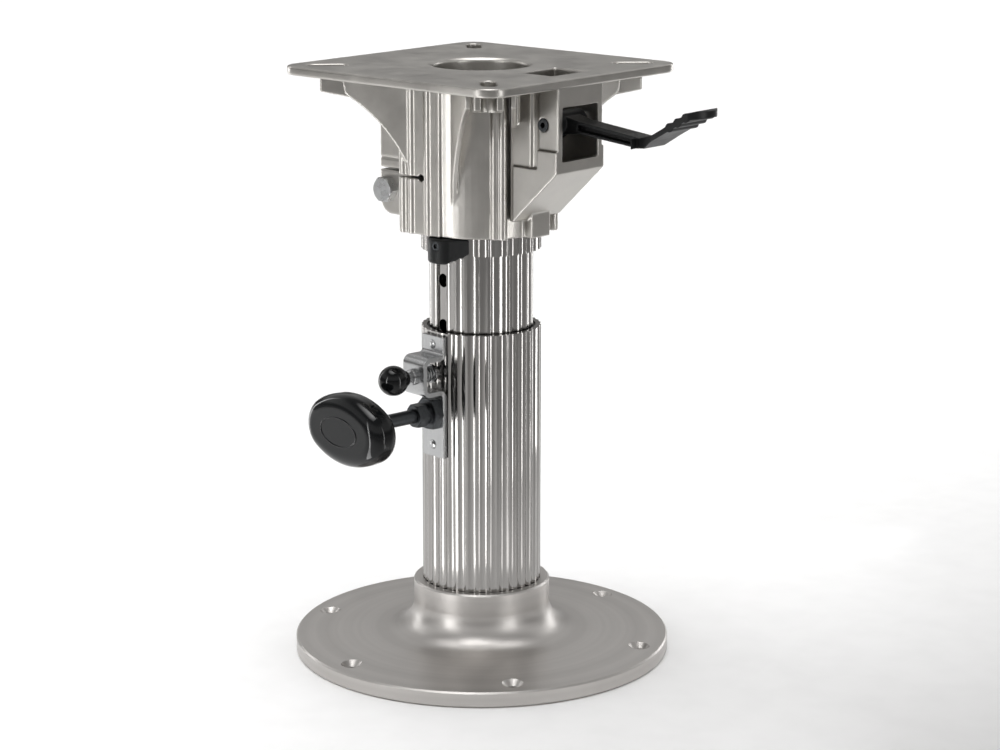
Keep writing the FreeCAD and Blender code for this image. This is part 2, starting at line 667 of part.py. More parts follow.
def outer_tube():
    """Lower column tube with a flat land and holes for pin, screw and rivets."""
    body = fluted_tube("outer_tube", S.tube_radius, tube_bore, S.seat_floor, tube_top,
                       S.tube_flutes, S.tube_flute_depth)
    half = S.bracket_width / 2 + S.running_gap
    block(body, "SubtractiveBox", (-half, half), (-S.tube_radius - CLEAR, -land),
          (bracket_bottom - CLEAR, tube_top))
    for height, radius in ((pin_height, S.pin_radius + S.running_gap),
                           (clamp_height, S.spigot_radius + S.press_gap),
                           (rivet_upper_height, S.rivet_radius + S.press_gap),
                           (rivet_lower_height, S.rivet_radius + S.press_gap)):
        outward(body, "SubtractiveCylinder", tube_bore - S.tube_wall, S.tube_radius + CLEAR,
                height, Radius=radius)
    turn_about_z(body, S.column_turn)


def guide_bushes():
    """Plastic bushes: one fixed in the outer tube's mouth, one on the upper tube's foot."""
    mouth = tube_top - S.bush_recess
    ring("guide_bush_top", upper_radius + S.fit, tube_bore - S.press_gap,
         mouth - S.bush_length, mouth)
    ring("guide_bush_bottom", upper_radius + S.press_gap, tube_bore - S.fit,
         upper_bottom, upper_bottom + S.bush_length)


def lock_bracket():
    """Folded steel bracket with a raised box for the spring and two flat flanges."""
    body = new_body("lock_bracket")
    low = pin_height - S.hat_half
    high = pin_height + S.hat_half
    sheet_gauge = S.bracket_sheet
    inner = S.bracket_bend
    outer = inner + sheet_gauge
    sketch = new_sketch(body, "YZ_Plane")
    add_outline(sketch, rounded([
        (-land, bracket_bottom, 0),
        (-land, low + sheet_gauge, outer),
        (-hat_inside, low + sheet_gauge, inner),
        (-hat_inside, high - sheet_gauge, inner),
        (-land, high - sheet_gauge, outer),
        (-land, bracket_top, 0),
        (-bracket_face, bracket_top, 0),
        (-bracket_face, high, inner),
        (-hat_face, high, outer),
        (-hat_face, low, outer),
        (-bracket_face, low, inner),
        (-bracket_face, bracket_bottom, 0)]))
    pad(body, sketch, S.bracket_width, both_ways=True)
    holes = new_sketch(body, "XZ_Plane")
    add_circle(holes, 0, pin_height, S.guide_radius + S.press_gap)
    add_circle(holes, 0, clamp_height, S.spigot_radius + S.press_gap)
    add_circle(holes, 0, rivet_upper_height, S.rivet_radius + S.press_gap)
    add_circle(holes, 0, rivet_lower_height, S.rivet_radius + S.press_gap)
    pocket(body, holes)
    turn_about_z(body, S.column_turn)


def bracket_rivets():
    """Two rivets that hold the bracket on the outer tube."""
    head, rise = S.rivet_head, S.rivet_dome
    dome = (head * head + rise * rise) / (2 * rise)
    for name, height in (("bracket_rivet_upper", rivet_upper_height),
                         ("bracket_rivet_lower", rivet_lower_height)):
        turned_piece(name, [
            (0, tube_bore), (S.rivet_radius, tube_bore), (S.rivet_radius, bracket_face),
            (head, bracket_face, dome), (0, bracket_face + rise)], height)


def lock_pin():
    """Sprung pin that drops into the height holes, with its collar, guide and pull ball."""
    bevel = S.edge
    step = clip_outer + S.spring_wire
    turned_piece("lock_pin", [
        (0, pin_tip), (S.pin_radius - bevel, pin_tip), (S.pin_radius, pin_tip + bevel),
        (S.pin_radius, step), (S.pin_shank, step), (S.pin_shank, ball_centre),
        (0, ball_centre)], pin_height)
    collar_bore = S.pin_radius + S.press_gap
    collar_rim = S.pin_radius + S.clip_rim
    turned_piece("pin_clip", [
        (collar_bore, clip_inner), (collar_rim, clip_inner),
        (collar_rim, clip_outer), (collar_bore, clip_outer)], pin_height)
    guide_bore = S.pin_shank + S.fit
    flange_rim = S.guide_radius + S.guide_flange
    flange_face = hat_inside - S.guide_flange
    turned_piece("pin_guide_bush", [
        (guide_bore, flange_face), (flange_rim, flange_face), (flange_rim, hat_inside),
        (S.guide_radius, hat_inside), (S.guide_radius, guide_end - bevel),
        (S.guide_radius - bevel, guide_end), (guide_bore, guide_end)], pin_height)
    flat_half = root(S.ball_radius * S.ball_radius - S.ball_flat * S.ball_flat)
    hole = S.pin_shank + S.press_gap
    hole_end = ball_centre + S.press_gap
    turned_piece("ball_knob", [
        (hole, ball_start), (flat_half, ball_start, S.ball_radius),
        (S.ball_radius, ball_centre, S.ball_radius), (0, ball_centre + S.ball_radius),
        (0, hole_end), (hole, hole_end)], pin_height)


def pin_spring():
    """Compression spring between the pin's collar and its guide."""
    body = new_body("pin_spring")
    radius = S.pin_radius + S.spring_wire / 2 + S.running_gap
    end_room = S.spring_wire / 2 + S.fit
    start = clip_outer + end_room
    end = hat_inside - S.guide_flange - end_room
    coil(body, radius, start, end - start, S.spring_turns, S.spring_wire, outward=True)
    turn_about_z(body, S.column_turn, pin_height)


def clamp_screw():
    """Threaded bushing, jam nut, screw and pad of the height clamp."""
    bushing = new_body("clamp_bushing")
    outward(bushing, "AdditiveCylinder", tube_bore, bracket_face, Radius=S.spigot_radius)
    hexagon(bushing, S.hex_radius, bracket_face, hex_end)
    outward(bushing, "AdditiveCylinder", hex_end - SUNK, neck_end, Radius=S.neck_radius)
    outward(bushing, "SubtractiveCylinder", tube_bore - CLEAR, neck_end + CLEAR,
            Radius=screw_bore)
    turn_about_z(bushing, S.column_turn, clamp_height)

    nut = new_body("jam_nut")
    hexagon(nut, S.jam_radius, neck_end, jam_end)
    outward(nut, "SubtractiveCylinder", neck_end - CLEAR, jam_end + CLEAR, Radius=screw_bore)
    turn_about_z(nut, S.column_turn, clamp_height)

    screw_end = knob_outer - S.knob_cover
    nose = S.nose_radius
    nose_end = pad_end - S.nose_length
    shoulder = pad_end + S.thread_clearance
    turned_piece("clamp_shaft", [
        (0, nose_end), (nose, nose_end), (nose, shoulder), (S.shaft_radius, shoulder),
        (S.shaft_radius, screw_end), (0, screw_end)], clamp_height)
    pad_radius = S.shaft_radius - 2 * S.thread_clearance
    socket_end = nose_end - S.thread_clearance
    turned_piece("clamp_pad", [
        (0, pad_tip), (pad_radius - S.edge, pad_tip), (pad_radius, pad_tip + S.edge),
        (pad_radius, pad_end), (nose + S.fit, pad_end), (nose + S.fit, socket_end),
        (0, socket_end)], clamp_height)


def oval_knob():
    """Thick oval hand knob with rounded edges."""
    body = new_body("oval_knob")
    end = S.knob_end_radius
    wide = S.knob_half_width - end
    high = S.knob_half_height
    side = (wide * wide + high * high - end * end) / (2 * (high - end))
    joint_x = wide + end * wide / (side - end)
    joint_y = end * (side - high) / (side - end)
    sketch = new_sketch(body, "XZ_Plane", knob_middle)
    add_outline(sketch, [
        (joint_x, -joint_y, end), (wide + end, 0, end), (joint_x, joint_y, side),
        (-joint_x, joint_y, end), (-(wide + end), 0, end), (-joint_x, -joint_y, side)])
    slab = pad(body, sketch, S.knob_thickness, both_ways=True)
    round_rims(body, slab, "Y", S.knob_rounding)
    outward(body, "SubtractiveCylinder", knob_inner - CLEAR,
            knob_outer - S.knob_cover + S.press_gap, Radius=S.shaft_radius + S.press_gap)
    turn_about_z(body, S.column_turn, clamp_height)


def upper_tube():
    """Sliding column tube with a recessed channel and the row of height holes."""
    body = fluted_tube("upper_tube", upper_radius, upper_bore, upper_bottom, sleeve_top,
                       S.upper_flutes, S.upper_flute_depth)
    half = S.channel_width / 2
    block(body, "SubtractiveBox", (-half, half), (-upper_radius - CLEAR, -channel_floor),
          (upper_bottom - CLEAR, sleeve_bottom))
    inside = upper_bore - S.upper_wall
    outside = upper_radius + CLEAR
    for step in range(-3, 3):
        outward(body, "SubtractiveCylinder", inside, outside,
                pin_height + S.pitch_of_holes * step, Radius=S.pin_radius + S.lock_clearance)
    for turn in (0, 180):
        outward(body, "SubtractiveCylinder", inside, outside, cross_pin_height, turn,
                Radius=S.cross_pin_radius + S.press_gap)
    turn_about_z(body, S.column_turn)


def swivel_sleeve():
    """Fluted sleeve fixed on the upper tube; the seat mount turns on it."""
    body = fluted_tube("swivel_sleeve", S.tube_radius, sleeve_bore, sleeve_bottom,
                       sleeve_top, S.tube_flutes, S.tube_flute_depth)
    inside, outside = sleeve_bore - CLEAR * 2, S.tube_radius + CLEAR
    outward(body, "SubtractiveCylinder", inside, outside, block_screw_height,
            S.block_turn - S.column_turn, Radius=S.block_screw + S.press_gap)
    for turn in (0, 180):
        outward(body, "SubtractiveCylinder", inside, outside, cross_pin_height, turn,
                Radius=S.cross_pin_radius + S.press_gap)
    turn_about_z(body, S.column_turn)


def column_head():
    """Plug, washers and bolt that hold the seat mount down, and the sleeve's cross pins."""
    plug_bottom = sleeve_top - S.plug_length
    plug_radius = upper_bore - S.press_gap
    retainer_bottom = shoulder_top + S.fit
    retainer_top = retainer_bottom + S.retainer_thickness
    bolt_hole = S.bolt_radius + S.press_gap
    turned_piece("top_plug", [
        (bolt_hole, plug_bottom), (plug_radius, plug_bottom), (plug_radius, sleeve_top),
        (plug_boss, sleeve_top), (plug_boss, retainer_bottom),
        (bolt_hole, retainer_bottom)])
    ring("thrust_washer", plug_boss + S.thrust_width, bushing_outside,
         sleeve_top + S.fit, shoulder_bottom)
    ring("retaining_washer", bolt_hole, retainer_radius, retainer_bottom, retainer_top)

    bolt = new_body("retaining_bolt")
    primitive(bolt, "AdditiveCylinder", (0, 0, retainer_top - S.bolt_length),
              Radius=S.bolt_radius, Height=S.bolt_length)
    primitive(bolt, "AdditivePrism", (0, 0, retainer_top),
              Circumradius=S.bolt_hex, Height=S.bolt_head)

    pin_outer = S.tube_radius - S.tube_flute_depth - S.running_gap
    for name, turn in (("sleeve_pin_front", 0), ("sleeve_pin_back", 180)):
        pin = new_body(name)
        outward(pin, "AdditiveCylinder", upper_bore, pin_outer, cross_pin_height, turn,
                Radius=S.cross_pin_radius)
        turn_about_z(pin, S.column_turn)


def stop_block():
    """Moulded block under the seat mount with a rounded nose, and its socket screw."""
    nose = S.block_nose
    inside = S.tube_radius + S.press_gap
    nose_y = -(block_end - nose)
    back_y = -(inside * DIAGONAL)
    body = new_body("stop_block")
    sketch = new_sketch(body, "XY_Plane", block_bottom)
    add_outline(sketch, [
        (-nose, nose_y), (-nose, back_y), (S.block_tail, back_y),
        (S.block_tail, nose_y + nose / 2), (nose * DIAGONAL, nose_y - nose * DIAGONAL, -nose),
        (0, -block_end, -nose)])
    slab = pad(body, sketch, block_top - block_bottom)
    round_rims(body, slab, "Z", S.block_rounding)
    slant = new_sketch(body, "XZ_Plane")
    beyond = S.block_tail + CLEAR
    add_outline(slant, [
        (nose / 2, block_bottom - CLEAR), (beyond, block_bottom - CLEAR),
        (beyond, block_bottom + S.block_slant), (nose / 2, block_bottom)])
    pocket(body, slant)
    primitive(body, "SubtractiveCylinder", (0, 0, block_bottom - CLEAR),
              Radius=inside, Height=block_top - block_bottom + CLEAR * 2)
    head_seat = block_end - S.block_screw_head
    outward(body, "SubtractiveCylinder", upper_radius, block_end + CLEAR, block_screw_height,
            Radius=S.block_screw + S.press_gap)
    outward(body, "SubtractiveCylinder", head_seat, block_end + CLEAR, block_screw_height,
            Radius=S.block_screw_head + S.press_gap)
    turn_about_z(body, S.block_turn)

    screw = new_body("stop_block_screw")
    head_top = block_end - S.running_gap
    outward(screw, "AdditiveCylinder", upper_radius + S.running_gap, head_seat,
            Radius=S.block_screw)
    outward(screw, "AdditiveCylinder", head_seat, head_top, Radius=S.block_screw_head)
    outward(screw, "SubtractivePrism", head_top - S.block_screw, head_top + CLEAR,
            Circumradius=S.block_screw)
    turn_about_z(screw, S.block_turn, block_screw_height)


def swivel_bushing():
    """Plastic liner between the sleeve and the seat mount's bore."""
    ring("swivel_bushing", bushing_bore, bushing_outside, mount_bottom + S.bushing_lift,
         bushing_top)


# Ribs of the hub: (place along X, depth of its centre below the side flat), then beside the
# lever housing (degrees from +X, gain over the hub's radius). Each stands on both sides.
FLAT_RIBS = ((-24.0, 1.0), (-17.0, 1.0), (-4.0, 1.2), (4.0, 2.4))
ROUND_RIBS = ((36.6, 0.1), (31.0, 2.4))


def seat_plate(body):
    """Seat plate with rounded corners and edges."""
    half = S.plate_side / 2
    outline = new_sketch(body, "XY_Plane", plate_under)
    add_outline(outline, rounded([
        (-half, -half, S.plate_corner), (half, -half, S.plate_corner),
        (half, half, S.plate_corner), (-half, half, S.plate_corner)]))
    slab = pad(body, outline, S.plate_thickness)
    round_rims(body, slab, "Z", S.plate_edge)


def gussets(body):
    """Four gussets of two webs each under the plate's corners, with the lugs of the slots."""
    wide = S.gusset_foot_width / 2
    near = S.gusset_width / 2
    far = S.gusset_lever_side
    root = hub_inside - wide / 2
    toe = hub_radius - S.gusset_root
    tip = S.gusset_reach
    low = plate_under - S.gusset_depth
    step = plate_under - S.plate_thickness
    below = gusset_foot - CLEAR
    for turn, left, right in ((-45, near, far), (45, far, near), (135, near, near), (-135, near, near)):
        wedge = new_sketch(body, "XY_Plane", gusset_foot, turn=turn)
        add_outline(wedge, [
            (root, -wide), (hub_radius, -wide), (tip, -left),
            (tip, right), (hub_radius, wide), (root, wide)])
        pad(body, wedge, S.gusset_height + SUNK)
        hollow = new_sketch(body, "XZ_Plane", turn=turn)
        add_outline(hollow, [
            (toe, gusset_foot, -S.gusset_cove), (tip - 5, low), (tip - 1, low + 3),
            (tip, step), (tip + CLEAR, step), (tip + CLEAR, below), (toe, below)])
        pocket(body, hollow)
        channel = new_sketch(body, "XY_Plane", (below + plate_under) / 2, turn=turn)
        inner = wide - S.gusset_web
        add_outline(channel, [
            (root - CLEAR, -inner), (hub_radius, -inner), (tip, S.gusset_web - left),
            (tip + CLEAR, S.gusset_web - left), (tip + CLEAR, right - S.gusset_web),
            (tip, right - S.gusset_web), (hub_radius, inner), (root - CLEAR, inner)])
        pocket(body, channel, plate_under - below)
        ledge = new_sketch(body, "XZ_Plane", turn=turn)
        add_outline(ledge, [
            (S.lug_root, plate_under + SUNK), (S.lug_root, plate_under - S.lug_root_depth),
            (S.lug_reach, plate_under - S.lug_depth), (S.lug_reach, plate_under + SUNK)])
        pad(body, ledge, S.lug_width, both_ways=True)
    for turn, start, stop in ((-45, SUNK, wide + CLEAR), (45, -wide - CLEAR, -SUNK)):
        shallow = new_sketch(body, "XY_Plane", (below + gusset_lever_foot) / 2, turn=turn)
        add_outline(shallow, [
            (root - CLEAR, start), (tip + CLEAR, start), (tip + CLEAR, stop), (root - CLEAR, stop)])
        pocket(body, shallow, gusset_lever_foot - below)


def hub(body):
    """Tapered hub under the plate."""
    primitive(body, "AdditiveCone", (0, 0, mount_bottom), Radius1=hub_radius,
              Radius2=hub_radius + S.hub_draft, Height=hub_height)


def hub_ribs(body):
    """Side flats of the hub and its upright ribs."""
    block(body, "AdditiveBox", (S.flank_start, S.flank_end), (-flank_reach, flank_reach),
          (mount_bottom, mount_bottom + hub_height))
    places = [(along, flank_reach - below) for along, below in FLAT_RIBS]
    for degrees, gain in ROUND_RIBS:
        angle = math.radians(degrees)
        reach = hub_radius + gain
        places.append((reach * math.cos(angle), reach * math.sin(angle)))
    for along, aside in places:
        for side in (-1, 1):
            primitive(body, "AdditiveCylinder", (along, side * aside, mount_bottom),
                      Radius=S.hub_rib, Height=hub_height)


def clamp_ears(body):
    """Split ears at the back of the hub, with the slits that let the hub close."""
    end = -(mount_bore + S.ear_reach)
    low = mount_bottom + S.ear_lift
    high = low + S.ear_height
    outline = new_sketch(body, "XZ_Plane")
    add_outline(outline, rounded([
        (end, low, S.ear_rounding), (S.flank_start, low, 0),
        (S.flank_start, high, 0), (end, high, S.ear_rounding / 3)]))
    pad(body, outline, S.ear_half * 2, both_ways=True)
    far = S.plate_side / 2
    block(body, "SubtractiveBox", (-far, -upper_bore), (-S.clamp_slit / 2, S.clamp_slit / 2),
          (mount_bottom - CLEAR, slit_height))
    block(body, "SubtractiveBox", (-far, -S.slit_end), (-far, far),
          (slit_height - S.slit_width / 2, slit_height + S.slit_width / 2))
    for along, height, radius in ((S.slit_end, slit_height, S.slit_end_radius),
                                  (pinch_reach, pinch_height, S.pinch_radius + S.running_gap)):
        primitive(body, "SubtractiveCylinder", (-along, far, height), TO_FRONT,
                  Radius=radius, Height=far * 2)
    line_x = -(hub_radius * DIAGONAL)
    line_z = slit_height + S.ear_line_rise
    face = S.ear_half
    for side in (-1, 1):
        depth = (face - S.ear_line_depth, face + CLEAR)
        across = depth if side > 0 else (-depth[1], -depth[0])
        block(body, "SubtractiveBox", (line_x - S.ear_line_width, line_x), across,
              (slit_height, slit_height + S.ear_line_height))
        block(body, "SubtractiveBox", (end - CLEAR, line_x), across,
              (line_z, line_z + S.ear_line_width))


def lever_housing(body):
    """Box for the lever under the plate: cheeks with raised fields, pocket and window."""
    reach = S.housing_reach
    toe = hub_radius + S.housing_toe
    inside = hub_inside
    cheek = new_sketch(body, "XZ_Plane")
    add_outline(cheek, [
        (inside, plate_under + SUNK), (inside, slope_foot), (toe, slope_foot),
        (reach, housing_lip), (reach, plate_under + SUNK)])
    pad(body, cheek, S.housing_half * 2, both_ways=True)
    groove_end = reach - S.cheek_groove_place
    field_top = housing_lip + S.relief_rise
    field = new_sketch(body, "XZ_Plane")
    add_outline(field, [
        (toe, slope_foot), (reach, housing_lip), (reach, housing_lip + S.relief_step),
        (groove_end, housing_lip + S.relief_step), (groove_end, field_top), (toe, field_top)])
    pad(body, field, (S.housing_half + S.cheek_relief) * 2, both_ways=True)
    block(body, "AdditiveBox", (inside, housing_inner), (-S.boss_half, S.boss_half),
          (mount_bottom, plate_under))

    face = S.housing_half
    for side in (-1, 1):
        depth = (face - S.cheek_groove_depth, face + S.cheek_relief + CLEAR)
        across = depth if side > 0 else (-depth[1], -depth[0])
        block(body, "SubtractiveBox", (groove_end - S.cheek_groove_width, groove_end), across,
              (field_top, plate_under))
    fall = S.slope_height * (cavity_end - housing_inner) / (reach - toe)
    room = new_sketch(body, "XZ_Plane")
    add_outline(room, [
        (housing_inner, plate_under), (housing_inner, housing_lip - fall),
        (cavity_end, housing_lip), (cavity_end, plate_under)])
    pocket(body, room, cavity_half * 2)
    block(body, "SubtractiveBox", (cavity_end - CLEAR, reach + CLEAR),
          (-cavity_half, cavity_half), (pocket_bottom, pocket_top))
    block(body, "SubtractiveBox", (housing_inner - S.front_wall, cavity_end - S.window_inset),
          (-cavity_half, cavity_half), (plate_under - S.front_wall, plate_top + CLEAR))


def mount_bores(body):
    """Bore for the column, shoulder, central opening and the lever's bores."""
    primitive(body, "SubtractiveCylinder", (0, 0, mount_bottom - CLEAR), Radius=mount_bore,
              Height=shoulder_bottom - mount_bottom + CLEAR)
    primitive(body, "SubtractiveCylinder", (0, 0, shoulder_bottom - CLEAR),
              Radius=plug_boss + S.running_gap, Height=S.shoulder_thickness + CLEAR * 2)
    primitive(body, "SubtractiveCylinder", (0, 0, shoulder_top), Radius=plate_opening,
              Height=plate_top - shoulder_top + CLEAR)
    bevel = S.opening_bevel
    primitive(body, "SubtractiveCone", (0, 0, plate_top - bevel), Radius1=plate_opening,
              Radius2=plate_opening + bevel + CLEAR, Height=bevel + CLEAR)
    far = S.plate_side / 2
    primitive(body, "SubtractiveCylinder", (pivot_x, far, pivot_z), TO_FRONT,
              Radius=S.pivot_radius + S.press_gap, Height=far * 2)
    head_seat = S.housing_half + S.pivot_head_proud - S.pivot_head_depth
    primitive(body, "SubtractiveCylinder", (pivot_x, -head_seat, pivot_z), TO_FRONT,
              Radius=S.pivot_head + S.press_gap, Height=far - head_seat)
    block(body, "SubtractiveBox", (mount_bore - S.tube_wall, housing_inner + CLEAR),
          (-S.tooth_width, S.tooth_width), (bushing_top + SUNK, shoulder_bottom))


def seat_slots(body):
    """Four seat bolt slots that point to the plate's corners."""
    reach = S.slot_square * DIAGONAL
    end = S.slot_width / 2
    half = S.slot_length / 2
    straight = half - end
    slot = new_sketch(body, "XY_Plane", turn=45)
    add_outline(slot, [
        (reach + straight, -end, end), (reach + half, 0, end), (reach + straight, end),
        (reach - straight, end, end), (reach - half, 0, end), (reach - straight, -end)])
    pattern(body, [pocket(body, slot)], 4)


def seat_mount():
    """One casting: seat plate, fluted hub, gussets, pinch clamp and lever housing."""
    body = new_body("seat_mount")
    seat_plate(body)
    gussets(body)
    hub(body)
    hub_ribs(body)
    clamp_ears(body)
    lever_housing(body)
    mount_bores(body)
    seat_slots(body)


def pinch_bolt():
    """Hexagon bolt and nut that draw the clamp ears together."""
    face = S.ear_half
    end = face + S.pinch_head
    bolt = new_body("pinch_bolt")
    hexagon(bolt, S.pinch_hex, face, end)
    outward(bolt, "AdditiveCylinder", -end - CLEAR, face + SUNK, Radius=S.pinch_radius)
    place_at(bolt, -pinch_reach, pinch_height)
    nut = new_body("pinch_nut")
    hexagon(nut, S.pinch_hex, face, end)
    outward(nut, "SubtractiveCylinder", face - CLEAR, end + CLEAR,
            Radius=S.pinch_radius + S.press_gap)
    nut.Placement = Placement(Vector(0, 0, 0), Rotation(Vector(0, 0, 1), 180))
    place_at(nut, -pinch_reach, pinch_height)


GRIP_RISE = 0.567  # rise of the grip along its reach


def lever_grip(body):
    """Flat ribbed grip that rises from the elbow, flared and rounded in plan."""
    profile = new_sketch(body, "XZ_Plane")
    add_outline(profile, [
        (58, -8.9), (65.5, -8.0), (73, -2.6), (97, 11.0), (106, 12.4), (106, 16.3),
        (101.9, 16.5), (97.1, 14.9), (72.2, 0.3), (59.7, -2.8), (58, -2.6)])
    pad(body, profile, S.grip_width, both_ways=True)
    half = S.grip_width / 2
    for number in range(3):
        step = S.grip_rib_pitch * number
        primitive(body, "AdditiveCylinder", (85.0 + step, half, 6.0 + step * GRIP_RISE),
                  TO_FRONT, Radius=S.grip_rib, Height=S.grip_width)
    arm = S.lever_width / 2
    beyond = S.grip_width
    plan = new_sketch(body, "XY_Plane")
    add_outline(plan, [
        (58.5, arm), (71.5, half), (98, half, -S.grip_end_radius),
        (106, 0, -S.grip_end_radius), (98, -half), (71.5, -half), (58.5, -arm),
        (58.5, -beyond), (110, -beyond), (110, beyond), (58.5, beyond)])
    pocket(body, plan)


def lever():
    """Moulded swivel lever with grooved arm, raised grip and locking tooth."""
    body = new_body("lever")
    lever_grip(body)
    tail = housing_inner + CLEAR - pivot_x
    arm = new_sketch(body, "XZ_Plane")
    add_outline(arm, [
        (0, 5.5), (-6, 4), (tail, -9), (tail, -13.5), (tail + 3.3, -15.5), (-1, -6.8),
        (14.5, -4.9), (59, -9.0), (59.7, -2.8), (14.5, 2.1)])
    pad(body, arm, S.lever_width, both_ways=True)
    primitive(body, "AdditiveCylinder", (0, lever_hub_half, 0), TO_FRONT,
              Radius=S.lever_hub, Height=lever_hub_half * 2)
    half_tooth = S.tooth_width / 2
    block(body, "AdditiveBox", (tooth_tip - pivot_x, tail + CLEAR), (-half_tooth, half_tooth),
          (-(S.tooth_top + S.tooth_height), -S.tooth_top))
    web = S.lever_web / 2
    outside = S.lever_width / 2 + CLEAR
    for side in (-1, 1):
        groove = new_sketch(body, "XZ_Plane", -side * (web + outside) / 2)
        add_outline(groove, [
            (14.5, -3.2), (56, -7.3), (57.5, -5.8), (56, -4.2), (14.5, 0.3)])
        pocket(body, groove, outside - web)
    primitive(body, "SubtractiveCylinder", (0, lever_hub_half + CLEAR, 0), TO_FRONT,
              Radius=S.pivot_radius + S.fit, Height=(lever_hub_half + CLEAR) * 2)
    place_at(body, pivot_x, pivot_z)


def lever_pivot_pin():
    """Socket-head pivot pin through both cheeks of the housing."""
    body = new_body("lever_pivot_pin")
    head_top = S.housing_half + S.pivot_head_proud
    head_seat = head_top - S.pivot_head_depth
    outward(body, "AdditiveCylinder", -S.housing_half, head_seat, Radius=S.pivot_radius)
    outward(body, "AdditiveCylinder", head_seat, head_top, Radius=S.pivot_head)
    outward(body, "SubtractivePrism", head_top - S.pivot_head, head_top + CLEAR,
            Circumradius=S.pivot_head / 2)
    place_at(body, pivot_x, pivot_z)


def lever_spring():
    """Torsion spring round the pivot pin beside the lever's hub."""
    body = new_body("lever_spring")
    wire = S.lever_spring_wire
    radius = S.pivot_radius + wire / 2 + S.running_gap
    start = lever_hub_half + wire / 2 + S.fit
    coil(body, radius, start, wire * 2.2, 2, wire, outward=False)
    place_at(body, pivot_x, pivot_z)


def check_and_write():
    """Stop on a failed object, then write each sub-part's shape."""
    document.recompute()
    failed = [thing.Label for thing in document.Objects
              if "Invalid" in thing.State or "Error" in thing.State]
    if failed:
        raise RuntimeError("failed objects: " + ", ".join(failed))
    for part in sub_parts:
        if part.Shape.isNull() or not part.Shape.isValid():
            raise RuntimeError("bad shape: " + part.Label)
    os.makedirs("parts", exist_ok=True)
    for part in sub_parts:
        part.Shape.exportStep(os.path.join("parts", part.Label + ".step"))
        print(part.Label, len(part.Shape.Solids), round(part.Shape.Volume, 1))


base_plate()
outer_tube()
guide_bushes()
lock_bracket()
bracket_rivets()
lock_pin()
pin_spring()
clamp_screw()
oval_knob()
upper_tube()
swivel_sleeve()
column_head()
stop_block()
swivel_bushing()
seat_mount()
pinch_bolt()
lever()
lever_pivot_pin()
lever_spring()
check_and_write()
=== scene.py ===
"""Looks of the boat seat pedestal, in metres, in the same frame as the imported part."""

import json
import math

import bpy
from mathutils import Matrix, Vector


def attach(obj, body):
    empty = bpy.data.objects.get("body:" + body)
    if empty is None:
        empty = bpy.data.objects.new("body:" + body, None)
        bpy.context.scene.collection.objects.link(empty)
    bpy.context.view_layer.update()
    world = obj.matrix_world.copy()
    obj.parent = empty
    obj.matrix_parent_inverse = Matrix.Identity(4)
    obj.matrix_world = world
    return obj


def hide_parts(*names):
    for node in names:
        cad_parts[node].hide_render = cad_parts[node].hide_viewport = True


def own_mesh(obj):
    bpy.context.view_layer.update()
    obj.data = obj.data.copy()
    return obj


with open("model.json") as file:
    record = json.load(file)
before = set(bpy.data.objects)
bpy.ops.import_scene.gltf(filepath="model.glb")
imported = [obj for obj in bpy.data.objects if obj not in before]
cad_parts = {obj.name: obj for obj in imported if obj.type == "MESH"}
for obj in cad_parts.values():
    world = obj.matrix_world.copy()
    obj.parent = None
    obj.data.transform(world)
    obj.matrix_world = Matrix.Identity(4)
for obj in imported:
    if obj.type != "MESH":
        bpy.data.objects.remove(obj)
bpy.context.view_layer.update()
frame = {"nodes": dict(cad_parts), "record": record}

scene = bpy.context.scene
scene.view_settings.view_transform = "Standard"

COLUMN_TURN = math.radians(-7)  # turn of the column about Z
CLAMP_HEIGHT = 0.1539  # axis of the hand screw
PIN_HEIGHT = 0.178  # axis of the pull pin

# Materials
NOISE_LOW, NOISE_HIGH = 0.3, 0.7  # nearly all of a noise lies between these

UPRIGHT = (1.0, 1.0, 0.02)  # stretches a grain along Z
ACROSS = (0.05, 1.0, 1.0)  # stretches a grain along X
EVEN = (1.0, 1.0, 1.0)
GRAIN_DEPTH = 0.00002
STAIN_SCALE = 28.0

LATHE_DARK, LATHE_LIGHT = (0.49, -0.018), (0.56, -0.020)  # level and tint
LATHE_ROUGH = (0.34, 0.42)
LATHE_RING_SCALE, LATHE_BAND_SCALE, LATHE_MARK_SCALE = 2600.0, 120.0, 45.0
LATHE_RING_DEPTH = 0.000012
LATHE_EDGE = 0.0004

CAST_DARK, CAST_LIGHT = (0.415, 0.40, 0.378, 1), (0.48, 0.465, 0.438, 1)
CAST_ROUGH = (0.30, 0.40)
CAST_GRIT_SCALE, CAST_PATCH_SCALE = 1500.0, 60.0
CAST_SKIN_DEPTH = 0.00006

PLASTIC_GRIT_SCALE, PLASTIC_DUST_SCALE = 1800.0, 90.0
PLASTIC_TINT = 0.0005
PLASTIC_SHINE = 0.22

FLOOR_REACH = 60.0  # the floor goes this far each way
FLOOR_DARK, FLOOR_LIGHT = 0.92, 0.95
FLOOR_SPECK_SCALE = 40.0


